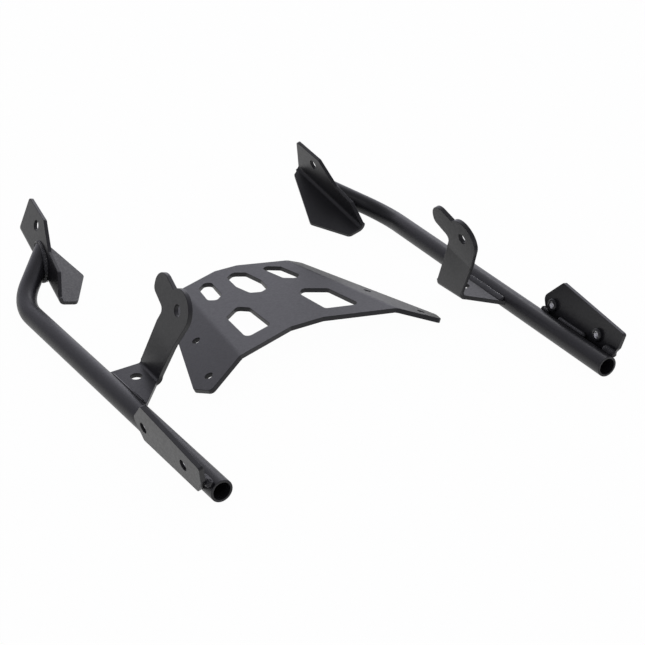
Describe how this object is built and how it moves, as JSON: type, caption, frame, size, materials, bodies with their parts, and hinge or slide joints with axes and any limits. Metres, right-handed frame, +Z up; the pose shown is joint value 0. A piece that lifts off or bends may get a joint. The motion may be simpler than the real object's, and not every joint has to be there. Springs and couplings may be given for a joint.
{
  "type": "motorcycle luggage rack",
  "caption": "Motorcycle luggage rack kit laid flat: folded plate with strap cut-outs beside mirrored bent-tube arms with welded brackets.",
  "frame": {"origin": "centre of the laid-out kit's box, on the floor", "axes": "+Y away along the plate toward the front brackets, +X to the right arm, +Z up"},
  "size_m": [0.3939, 0.4518, 0.0973],
  "materials": {
    "arm_coat": "satin",
    "plate_coat": "satin",
    "weld_coat": "gloss",
    "nut_zinc": "satin"
  },
  "bodies": {
    "root": {"left_far_nut": "nut_zinc", "left_flange": "arm_coat", "left_flange_far_weld": "weld_coat", "left_flange_middle_weld": "weld_coat", "left_flange_near_weld": "weld_coat", "left_front_bracket": "arm_coat", "left_front_weld": "weld_coat", "left_middle_bracket": "arm_coat", "left_near_nut": "nut_zinc", "left_tab_weld": "weld_coat", "left_tube": "arm_coat", "rack_plate": "plate_coat", "right_far_nut": "nut_zinc", "right_flange": "arm_coat", "right_flange_far_weld": "weld_coat", "right_flange_middle_weld": "weld_coat", "right_flange_near_weld": "weld_coat", "right_front_bracket": "arm_coat", "right_front_weld": "weld_coat", "right_middle_bracket": "arm_coat", "right_near_nut": "nut_zinc", "right_tab_weld": "weld_coat", "right_tube": "arm_coat"}
  },
  "joints": []
}
